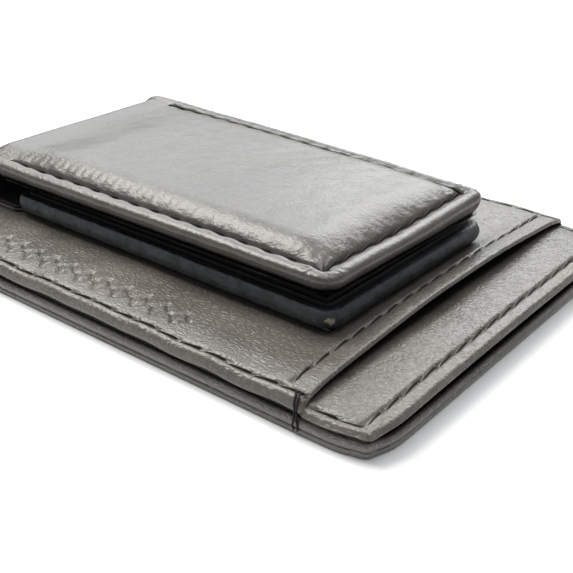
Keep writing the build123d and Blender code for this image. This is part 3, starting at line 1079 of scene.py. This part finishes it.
    def build_gusset(self) -> None:
        """Makes the folded cloth seam on three sides as a U-shaped band with a rounded outer face."""
        low, high = span("compartment_gusset")
        corner, half_width = 1.2, 1.1
        arc = np.linspace(0, math.pi / 2, 8)[1:, None]
        near = np.stack([np.linspace(high.x, low.x + corner, 60), np.full(60, low.y)], axis=1)
        turned = np.concatenate([1 - np.sin(arc), 1 - np.cos(arc)], axis=1) * corner + (low.x, low.y)
        across = np.linspace(low.y + corner, high.y - corner, 50)[1:-1]
        bend = np.concatenate([near, turned])
        path = np.concatenate([bend, np.stack([0 * across + low.x, across], axis=1), bend[::-1] * (1, -1)])
        along = np.gradient(path, axis=0)
        along /= np.linalg.norm(along, axis=1, keepdims=True)
        inward = np.stack([along[:, 1], -along[:, 0]], axis=1)
        turn = np.linspace(0, 2 * math.pi, 13)[:-1]
        reach = half_width * (1 - np.cos(turn)) - 0.15
        middle, half = (low.z + high.z) / 2, (high.z - low.z) / 2 + 0.12
        xy = path[:, None] + inward[:, None] * reach[:, None]
        z = middle + half * np.sign(np.sin(turn)) * np.abs(np.sin(turn)) ** 0.5
        piece = swept("compartment_gusset_cloth", surface(xy[..., 0], xy[..., 1], z)[None])
        outward(piece)
        place(piece, self.finishes.lining, "wallet", Slot.LINING, "compartment_gusset")

    def build_threads(self) -> None:
        """Makes every row of stitches of the wallet."""
        for name, rows in self.rows.items():
            leather = self.slot_top if name == "slot_panel_stitches" else self.front_top
            thread(name, np.concatenate([row.threads(leather) for row in rows]), self.finishes, "wallet")
        under = np.concatenate([row.threads(lambda x, y: 0.1, lift=0.06) for row in self.under_rows])
        under[..., 2] = 0.42 - under[..., 2]
        thread("underside_stitches", under, self.finishes, "wallet")
        self.build_tacks()

    def build_tacks(self) -> None:
        """Makes the thread loops that hold the two ends of the mouth, down over the wallet's side.

        A loop's profile gives, from its end of the mouth, the way along X, the way out and the height. Two of
        its points also sway, one each way.
        """
        along, out, height = np.transpose([
            (-0.9, -1.5, -0.25), (-0.5, -0.9, 0.08), (-0.1, -0.25, -0.05), (0, 0.12, -0.7), (0, 0.08, -1.9),
            (0, 0.12, -2.9), (0, 0.1, -3.7), (0, -0.1, -4.35), (0, -0.6, -4.6),
        ])
        swaying = np.array([0, 0, 0, 0, 1, 0, -1, 0, 0])
        loops = []
        for sign, drop in ((-1, 0.1), (1, 0.55)):
            for shift, sway in ((-1.0, 0.15), (-0.5, -0.12)):
                x, y = self.mouth_x + shift + along + sway * swaying, sign * (self.front_high.y + out)
                loops.append(surface(x, y, self.front_high.z - drop + height))
        thread("corner_tacks", np.array(loops), self.finishes, "wallet")

    def build(self) -> None:
        """Makes the whole wallet."""
        self.build_front_panel()
        self.build_slot_panel()
        self.build_lower_half()
        self.build_linings()
        self.build_threads()


# ---- the clip ------------------------------------------------------------------------------------
@dataclass
class ClipBase:
    """The dark pad that the flap closes on: an edge-painted leather wrap over a board and two magnets.

    Args:
        finishes: the materials.
        top_roll: radius of its upper edge.
        under_roll: radius of its lower edge.
        undercut: height of the shadow gap under its side.
        rim: width of the wrap's turned-in rim round the black lining.
        rim_height: how far the rim stands above what it surrounds.
        belly: how far its side swells.
        chips: (centre, reach) of each place where the paint has chipped.
    """

    finishes: Finishes
    top_roll: float = 0.45
    under_roll: float = 0.4
    undercut: float = 0.28
    rim: float = 0.9
    rim_height: float = 0.42
    belly: float = 0.22
    chips: tuple = (
        ((35.2, -21.4, 7.0), (1.0, 1.0, 0.8)), ((33.4, -22.2, 6.9), (0.9, 0.5, 0.3)),
        ((-19.5, -22.1, 6.9), (3.2, 0.5, 0.3)), ((12.0, -22.1, 7.6), (1.3, 0.4, 0.2)),
        ((35.0, 3.0, 7.4), (0.4, 1.2, 0.2)), ((-24.0, -21.0, 7.2), (0.8, 0.8, 0.5)),
    )

    def build_cover(self) -> None:
        """Makes the wrap, with an uneven rolled side, a turned-in rim and a floor undercut at the edge."""
        low, high, outline = outlined("clip_base_cover", 2.6)
        x, y, d = outline.grid(0.8, 0.8, ends(low.x, high.x, 1.2, 0.13), ends(low.y, high.y, 1.2, 0.13))
        wave = 0.07 * ripple(x, y, 9.0, 31) + 0.03 * ripple(x, y, 2.6, 32)
        top = high.z - GAP - roll(d, self.top_roll) + wave * fall(0.0, 1.2, d)
        top = top - self.rim_height * smooth(self.rim, self.rim + 0.25, d)
        bottom = low.z + GAP + roll(d, self.under_roll) + wave * fall(0.0, 1.0, d)
        bottom = bottom + self.undercut * fall(0.9, 1.9, d)
        lean = self.belly + 0.1 * ripple(x, y, 7.0, 33)
        piece = closed_sheet("clip_base_wrap", surface(x, y, top), surface(x, y, bottom), 4, lean)
        mark_wear(piece, self.chips)
        place(piece, self.finishes.edge, "wallet", Slot.EDGE, "clip_base_cover")

    def build_lining(self) -> None:
        """Makes the black lining on the pad, with two fine raised lines inside its rim."""
        low, high, outline = outlined("clip_base_lining", 1.9)
        fine_x, fine_y = (
            (*ends(a, b, 0.4, 0.15), *ends(a + 0.9, b - 0.9, 0.5, 0.14), *ends(a + 1.9, b - 1.9, 0.5, 0.14))
            for a, b in ((low.x, high.x), (low.y, high.y))
        )
        x, y, d = outline.grid(0.9, 0.9, fine_x, fine_y)
        raised = 0.34 * hump(d, self.rim, 0.24) + 0.5 * hump(d, self.rim + 1.0, 0.26)
        top = high.z - GAP + raised + 0.03 * ripple(x, y, 8.0, 41) - roll(d, 0.25)
        piece = closed_sheet("clip_base_cloth", surface(x, y, top), surface(x, y, low.z + 0.03))
        place(piece, self.finishes.lining, "wallet", Slot.LINING, "clip_base_lining")

    def build(self) -> None:
        """Makes the pad's pieces and finishes its board and magnets."""
        self.build_cover()
        self.build_lining()
        dress_node("clip_base_board", self.finishes.board)
        dress_node("clip_base_magnets", self.finishes.nickel)


@dataclass
class Flap:
    """The padded flap: a leather shell over foam, a board and two magnets, with a stitched border.

    Args:
        finishes: the materials.
        near_seam, tip_seam, far_seam: how far in from each side the stitch line lies.
        near_bulge: how far the near side's bead stands out past the board.
        corner: radius of the two free corners.
        waist: height where the bead is widest.
        split: height where the outer leather meets the black leather turned up from below.
        crest: height of the bead.
        crest_in: how far in from the side the bead's crest lies.
        seam_drop: how far the stitch line lies below the crest.
        valley, valley_width, hole: depth and half width along a row of stitches, and extra depth at a hole.
        far_rise: how much higher the border lies along the far side.
        crown_top: height of the padded middle.
        dome: how much higher it is half way along.
        tail_drop: how much lower it starts at the fold.
        near_reach, tip_reach, far_reach: how far the padding takes to rise from each stitch line.
        fullness: power of the padding's rise; higher is fuller.
        leather: thickness of the leather.
        tuck: how far the bead's underside turns in.
        inset: how far in from the bead's side the black leather's edge lies.
        tilt: lift of the four corners, near tail, near tip, far tip, far tail.
    """

    finishes: Finishes
    near_seam: float = 2.4
    tip_seam: float = 3.1
    far_seam: float = 2.6
    near_bulge: float = 0.5
    corner: float = 2.8
    waist: float = 12.0
    split: float = 10.35
    crest: float = 12.9
    crest_in: float = 1.35
    seam_drop: float = 0.45
    valley: float = 0.5
    valley_width: float = 0.34
    hole: float = 0.35
    far_rise: float = 1.25
    crown_top: float = 14.45
    dome: float = 0.35
    tail_drop: float = 0.7
    near_reach: float = 4.8
    tip_reach: float = 6.5
    far_reach: float = 3.4
    fullness: float = 2.3
    leather: float = 0.9
    tuck: float = 0.9
    inset: float = 0.55
    tilt: tuple = (-0.1, 0.35, -0.35, 0.3)

    def __post_init__(self) -> None:
        """Reads the frame's places and lays out the stitch rows."""
        self.low, self.high = low, high = span("flap_cover")
        self.y0, self.y1 = low.y - self.near_bulge, high.y
        self.middle = (low.y + high.y) / 2
        self.open_outline = Outline(low.x - 200.0, high.x, self.y0, self.y1, self.corner)
        self.tip = high.x - self.tip_seam
        self.near, self.far = self.y0 + self.near_seam, high.y - self.far_seam
        tail = low.x + 0.6
        self.rows = [
            Row((tail, self.near), (self.tip, self.near)),
            Row((self.tip, self.near), (self.tip, self.far)),
            Row((tail, self.far), (self.tip, self.far)),
        ]

    def shares(self, x: Array, y: Array) -> tuple[Array, Array]:
        """How far along and across the flap points lie, from 0 to 1."""
        u = np.clip((x - self.low.x) / (self.high.x - self.low.x), 0.0, 1.0)
        v = np.clip((y - self.low.y) / (self.high.y - self.low.y), 0.0, 1.0)
        return u, v

    def shift(self, x: Array, y: Array) -> Array:
        """How the closed flap rests askew at x, y: a bilinear lift between its four corners."""
        u, v = self.shares(x, y)
        near_tail, near_tip, far_tip, far_tail = self.tilt
        near, far = near_tail * (1 - u) + near_tip * u, far_tail * (1 - u) + far_tip * u
        return near * (1 - v) + far * v

    def level_top(self, x: Array, y: Array) -> Array:
        """Height of the outer face before the tilt.

        The border is a bead: a quarter ellipse from its waist up to its crest, then a parabola down to the
        stitch line. The padding rises from the three stitch lines by the product of 1 − (1 − u)^fullness,
        which rounds its corners like a pillow's.

        Args:
            x, y: places seen from above.

        Returns:
            The height at each point.
        """
        u, v = self.shares(x, y)
        tail = x - self.low.x
        lift = self.far_rise * smooth(0.45, 1.0, v) * (1 - 0.45 * smooth(0.35, 1.0, u))
        lift = lift + 0.2 * fall(0.0, 9.0, tail) * (1 - 0.6 * v)
        d = self.open_outline.inside(x, y)
        climb = np.sqrt(np.maximum(1 - (1 - np.clip(d / self.crest_in, 0, 1)) ** 2, 0))
        past = np.clip((d - self.crest_in) / (self.near_seam - self.crest_in), 0, 1)
        outer = self.waist + (self.crest - self.waist) * climb
        bead = np.where(d < self.crest_in, outer, self.crest - self.seam_drop * past ** 2)
        rise = 1.0
        for gap, reach in (
            (self.tip - x, self.tip_reach), (y - self.near, self.near_reach), (self.far - y, self.far_reach),
        ):
            rise = rise * (1 - (1 - np.clip(gap / reach, 0.0, 1.0)) ** self.fullness)
        dome = self.dome * np.sin(math.pi * np.clip(u * 1.05, 0, 1)) * np.sin(math.pi * v)
        crown = self.crown_top + dome - self.tail_drop * fall(0.0, 11.0, tail)
        return (bead + lift) * (1 - rise) + crown * rise

    def folds(self, x: Array, y: Array) -> Array:
        """Depth of the stitch line, its puckers, and the creases at the two free corners.

        Args:
            x, y: places seen from above.

        Returns:
            The depth at each point.
        """
        pressed = [row.press(x, y, self.valley, self.valley_width, self.hole) for row in self.rows]
        depth = np.maximum.reduce(pressed)
        for row in self.rows:
            along, across, past = row.local(x, y)
            beside = 0.08 * np.cos(2 * math.pi * along) * hump(np.abs(across), 0.7, 0.5)
            wider = 0.035 * np.sin(5 * math.pi * along + 1.0) * hump(across, 1.6, 1.0)
            depth = depth + (beside + wider) * hump(past, 0, 1)
        for corner_y, sign in ((self.near, -1), (self.far, 1)):
            a, b = x - self.tip, sign * (y - corner_y)
            radial = 0.06 * np.cos(13 * np.arctan2(b, a) + 0.6) * hump(np.hypot(a, b), 1.8, 1.3)
            depth = depth + 0.1 * hump(a - b, 0, 0.3) * smooth(-0.2, 0.6, np.minimum(a, b))
            depth = depth + radial * smooth(0.2, -0.6, np.minimum(a, b))
        return depth * smooth(self.low.x + 0.2, self.low.x + 2.0, x)

    def top(self, x: Array, y: Array) -> Array:
        """Height of the outer face with everything on it."""
        wave = 0.05 * ripple(x, y, 15.0, 51) + 0.02 * ripple(x, y, 3.4, 52)
        calm = smooth(self.low.x, self.low.x + 3.0, x)
        return self.level_top(x, y) - self.folds(x, y) + wave * calm + self.shift(x, y)

    def build_cover(self) -> None:
        """Makes the leather shell: bead, crown, tucked-in underside of the bead, and hollow inside."""
        low, high, y0, y1 = self.low, self.high, self.y0, self.y1
        fine_x = ((high.x, 1.0, 0.13), (self.tip, 0.8, 0.14), (self.tip, 3.2, 0.24))
        fine_y = (
            (y0, 1.0, 0.13), (y1, 1.0, 0.16), (y0 + 2.0, 2.5, 0.24), (self.near, 0.8, 0.13),
            (self.far, 0.8, 0.18),
        )
        x, y, _ = Outline(low.x, high.x, y0, y1, self.corner, 0.05).grid(0.42, 0.42, fine_x, fine_y)
        side = self.open_outline.inside(x, y)
        top = self.top(x, y)
        floor = self.split + self.shift(x, y)
        hollow = np.maximum(self.level_top(x, y) - self.leather + self.shift(x, y), floor)
        bottom = np.minimum(floor + (hollow - floor) * smooth(1.15, 1.3, side), top - 0.12)
        turn = self.tuck * fall(0.0, 2.0, side)
        tucked_x = x - turn * smooth(high.x - 5.0, high.x - 1.0, x)
        tucked_y = y + turn * fall(y0 + 1.0, y0 + 4.0, y) - turn * smooth(y1 - 4.0, y1 - 1.0, y)
        free = x > low.x + 0.01
        lean = free * (0.25 + 0.05 * ripple(x, y, 6.0, 53))
        # Painted shade: darkened stitch valleys, a darker band on the slope above the near stitch line, a
        # darker far bead fading in from the fold, and a near-black underside below the bead.
        groove = 0.55 * smooth(0.3, 0.6, self.folds(x, y))
        seam_shade = 0.3 * hump(y, self.near + 0.7, 1.1) * (x < self.tip)
        shaded = 0.8 * smooth(self.far + 0.35, self.far + 0.8, y) * smooth(low.x + 0.5, low.x + 6.0, x)
        inner = np.maximum.reduce([groove, seam_shade, shaded]), 0.9
        upper, lower = surface(x, y, top), surface(tucked_x, tucked_y, bottom)
        piece = closed_sheet("flap_leather_cover", upper, lower, 4, lean, inner)
        place(piece, self.finishes.flap_nappa, "flap", Slot.LEATHER, "flap_cover")

    def build_inside(self) -> None:
        """Makes the foam, board and magnets inside the flap, all at its own tilt."""
        low, high = span("flap_padding")
        x, y, d = Outline(low.x + 0.2, high.x, low.y, high.y, 1.5).grid(0.9, 0.9)
        floor, shift = low.z + 0.05, self.shift(x, y)
        under = self.level_top(x, y) - self.leather - 0.06
        top = floor + (np.maximum(under, low.z + 0.25) - floor) * smooth(-0.2, 1.0, d)
        upper, lower = surface(x, y, np.minimum(top, under) + shift), surface(x, y, low.z + 0.01 + shift)
        foam = closed_sheet("flap_foam_pad", upper, lower)
        place(foam, self.finishes.foam, "flap", Slot.FOAM, "flap_padding")
        for node, name, finish, slot in (
            ("flap_board", "flap_stiffener", self.finishes.board, Slot.BOARD),
            ("flap_magnets", "flap_disc_magnets", self.finishes.nickel, Slot.MAGNET),
        ):
            place(bent_copy(node, name, self.shift), finish, "flap", slot, node)

    def build_underside(self) -> None:
        """Makes the black inner leather, whose soft edge turns up under the bead on the three free sides."""
        low, high = span("flap_lining")
        x1, y0, y1 = self.high.x - self.inset, self.y0 + self.inset, self.y1 - self.inset
        outline = Outline(low.x, x1, y0, y1, 2.4, 0.3)
        x, y, _ = outline.grid(1.0, 1.0, ((x1, 1.6, 0.18),), ends(y0, y1, 1.6, 0.18))
        side = np.maximum(self.open_outline.inside(x, y) - self.inset, 0.0)
        shift = self.shift(x, y)
        turned = fall(0.75, 0.95, side) * smooth(low.x, low.x + 1.0, x)
        top = high.z - 0.03 + (self.split - high.z) * turned + shift
        sag = 0.18 * smooth(0.2, 1.6, side) * fall(1.6, 5.0, side)
        bottom = low.z + 0.25 - 0.45 * smooth(0.0, 2.0, side) - sag + roll(side, 0.7) + shift
        bottom = np.minimum(bottom, top - 0.12) + 0.02 * ripple(x, y, 8.0, 61)
        swell = 0.18 * (x > low.x + 0.01)
        piece = closed_sheet("flap_inner_leather", surface(x, y, top), surface(x, y, bottom), 3, swell)
        place(piece, self.finishes.black_leather, "flap", Slot.LINING, "flap_lining")

    def build_threads(self) -> None:
        """Makes the stitches of the border."""
        paths = np.concatenate([row.threads(self.top, lift=0.3, slant=0.3) for row in self.rows])
        thread("flap_border_stitches", paths, self.finishes, "flap", 0.19)

    def build(self) -> None:
        """Makes the whole flap."""
        self.build_cover()
        self.build_underside()
        self.build_inside()
        self.build_threads()


@dataclass
class Fold:
    """The strap that runs under the base pad, folds round the closed end and joins the flap.

    Args:
        finishes: the materials.
        flap: the flap that it meets.
        leather: least thickness of the strap.
        cloth: thickness of the lining inside the fold.
        tongue_inset: how much narrower the tongue is on each side, under the base pad.
        step: spacing of the rings along the underleg.
        bend_from, bend_to: not used.
    """

    finishes: Finishes
    flap: Flap
    leather: float = 0.6
    cloth: float = 0.36
    tongue_inset: float = 0.9
    step: float = 0.4
    bend_from: float = 5.6
    bend_to: float = 13.0

    def __post_init__(self) -> None:
        """Reads the fold's centre, radius and ends from the frame."""
        low, high = span("hinge_strap")
        self.radius, self.half = (high.z - low.z) / 2, (high.y - low.y) / 2
        self.turn_x, self.turn_z = low.x + self.radius, low.z + self.radius
        self.end_x, self.seam_x = high.x + 0.5, self.flap.low.x
        self.base_x = span("clip_base_cover")[0].x

    def radii(self, share: Array, y: Array) -> Array:
        """Distance of the strap's outer face from the fold's centre.

        It is even below. Towards the top leg it turns smoothly into the flap's own section, so that bead,
        groove and crown run on over the fold.

        Args:
            share: the share of the way round the fold, from 0 below to 1 on top.
            y: places across the strap.

        Returns:
            The radius at each point.
        """
        seam = self.seam_x + 0.0 * y
        section = self.flap.level_top(seam, y) + self.flap.shift(seam, y) - self.turn_z
        level = 0.93 * self.radius
        blended = level + (section - level) * smooth(0.35, 1.0, share)
        return np.where(share <= 0, self.radius, blended + (self.radius - level) * fall(0.0, 0.35, share))

    def strap_faces(self, outer: Array) -> tuple[Array, Array]:
        """Outer and inner radius of the leather."""
        return outer, np.minimum(self.radius - self.leather, outer - self.leather)

    def cloth_faces(self, outer: Array) -> tuple[Array, Array]:
        """Outer and inner radius of the lining."""
        under = self.strap_faces(outer)[1] - GAP
        return under, under - self.cloth

    def band(self, name: str, depth: Callable, start: float, width: tuple,
             inner_roll: float) -> bpy.types.Object:
        """A band along the underleg, round the fold and back along the top leg, closed at its edges.

        Args:
            name: the object's name.
            depth: gives, from the outer radius, the radii of the band's two faces.
            start: X where the underleg starts.
            width: half widths below and on top.
            inner_roll: radius of its long edges.

        Returns:
            The object.
        """
        lower = np.arange(start, self.turn_x + self.step / 2, -self.step)
        angle = np.linspace(0, math.pi, 60)[1:-1]
        upper = np.linspace(self.turn_x, self.seam_x, 8)
        centre_x = np.concatenate([lower, 0 * angle + self.turn_x, upper])[:, None]
        share = np.concatenate([0 * lower, angle / math.pi, 0 * upper + 1])[:, None]
        cross = lines(-1.0, 1.0, 0.02, ((-0.9, 0.12, 0.007), (0.9, 0.12, 0.009)))
        on_top, below = smooth(0.3, 1.0, share), share <= 0
        half = width[0] + (width[1] - width[0]) * on_top
        half = half - self.tongue_inset * smooth(self.base_x - 0.6, self.base_x + 0.6, centre_x) * below
        y = self.flap.middle - self.flap.near_bulge / 2 * on_top + cross * half
        edge = roll(half * (1 - np.abs(cross)), inner_roll)
        wave = 0.1 * np.sin(share * math.pi) * ripple(14 * share, y, 11.0, 71)
        outer, inner = depth(self.radii(share, y))
        faces = []
        for reach in (inner + wave + edge, outer + wave - edge):
            x, z = centre_x - np.sin(share * math.pi) * reach, self.turn_z - np.cos(share * math.pi) * reach
            faces.append(surface(x, y, z))
        # Painted shade: the tongue under the base pad is darkened towards near black, as the shadow line
        # under the pad.
        hidden = smooth(self.base_x - 1.6, self.base_x - 0.3, centre_x) * below
        piece = closed_sheet(name, *faces, inner=(hidden, hidden))
        outward(piece)
        return piece

    def build(self) -> None:
        """Makes the strap and its lining, which both run round the fold from under the base pad to the flap.
        """
        half, half_top = self.half, (self.flap.y1 - self.flap.y0) / 2 - GAP
        strap = self.band("hinge_strap_leather", self.strap_faces, self.end_x, (half, half_top), 0.22)
        narrow = (half - 0.3, half - 0.3)
        cloth = self.band("hinge_inner_cloth", self.cloth_faces, self.base_x - 0.1, narrow, 0.12)
        for piece, finish, slot, node in (
            (strap, self.finishes.flap_nappa, Slot.LEATHER, "hinge_strap"),
            (cloth, self.finishes.lining, Slot.LINING, "hinge_lining"),
        ):
            piece.data.materials.append(finish)
            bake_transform(piece)
            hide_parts(node)
            log.info("%s: %d faces, bends from wallet to flap", piece.name, len(piece.data.polygons))


# ---- studio --------------------------------------------------------------------------------------
@dataclass
class Studio:
    """Plain pale floor, soft lights and the camera.

    Args:
        eye: the camera's place in millimetres.
        forward: its viewing direction.
        right: the direction to its right.
        lens: focal length on a 36 mm sensor.
        look: the point that the lights face.
        floor_size: half the floor's side.
        air: strength of the light from all round.
    """

    eye: tuple = (94.637, -108.640, 65.034)
    forward: tuple = (-0.539563, 0.710167, -0.452255)
    right: tuple = (0.787548, 0.615654, 0.027164)
    lens: float = 61.49
    look: tuple = (5, -5, 8)
    floor_size: float = 6000.0
    air: float = 0.36

    def build_camera(self) -> None:
        """Makes the camera and sets it as the scene's."""
        data = bpy.data.cameras.new("camera")
        data.lens, data.sensor_width, data.clip_start = self.lens, 36.0, 0.001
        camera = link(bpy.data.objects.new("camera", data))
        forward, right = Vector(self.forward).normalized(), Vector(self.right).normalized()
        turn = Matrix((right, right.cross(forward), -forward)).transposed().to_4x4()
        camera.matrix_world = Matrix.Translation(Vector(self.eye) * MM) @ turn
        bpy.context.scene.camera = camera

    def build_floor(self) -> None:
        """Makes the floor, a sheet of matte white paper board."""
        m, shader, _ = fresh("matte_white_board")
        feed(m, shader, {}, in_Base_Color=linear("f4f5f6"), in_Roughness=0.75, in_Specular_IOR_Level=0.3)
        size, low = self.floor_size, min(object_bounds()[0][2] / MM, 0.0)
        points = np.array([[-size, -size, low], [size, -size, low], [size, size, low], [-size, size, low]])
        floor = make_object("floor", points, np.array([[0, 1, 2, 3]]), False)
        floor.data.materials.append(m)
        floor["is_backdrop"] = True

    def build_light(self, name: str, at: tuple, size: tuple, power: float, colour: str) -> None:
        """Makes one soft area light that faces the object.

        Args:
            name: the light's name.
            at: its place in millimetres.
            size: its two sides in millimetres.
            power: its power in watts.
            colour: its colour.
        """
        data = bpy.data.lights.new(name, "AREA")
        data.shape, data.size, data.size_y = "RECTANGLE", size[0] * MM, size[1] * MM
        data.energy, data.color = power, linear(colour)[:3]
        light = link(bpy.data.objects.new(name, data))
        light.location = Vector(at) * MM
        light.rotation_euler = (Vector(self.look) - Vector(at)).to_track_quat("-Z", "Y").to_euler()

    def build(self) -> None:
        """Makes the whole studio."""
        self.build_camera()
        self.build_floor()
        world = bpy.data.worlds.new("studio_air")
        world.use_nodes = True
        background = world.node_tree.nodes["Background"]
        background.inputs["Color"].default_value = linear("f3f6f8")
        background.inputs["Strength"].default_value = self.air
        bpy.context.scene.world = world
        self.build_light("back_soft_box", (-290, 425, 320), (660, 380), 2.3, "f8fdff")
        self.build_light("top_soft_box", (-280, -10, 450), (280, 280), 2.75, "fffdf8")
        self.build_light("right_soft_box", (-150, 440, 320), (240, 260), 0.55, "fffefa")
        self.build_light("floor_soft_box", (60, 60, 620), (420, 420), 1.6, "ffffff")
        bpy.context.scene.view_settings.view_transform = "Standard"


def main() -> None:
    """Builds every sub-assembly in order."""
    logging.basicConfig(level=logging.INFO, format="%(message)s")
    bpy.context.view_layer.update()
    finishes = Finishes()
    Studio().build()
    Wallet(finishes).build()
    ClipBase(finishes).build()
    flap = Flap(finishes)
    flap.build()
    Fold(finishes, flap).build()


if __name__ == "__main__":
    main()
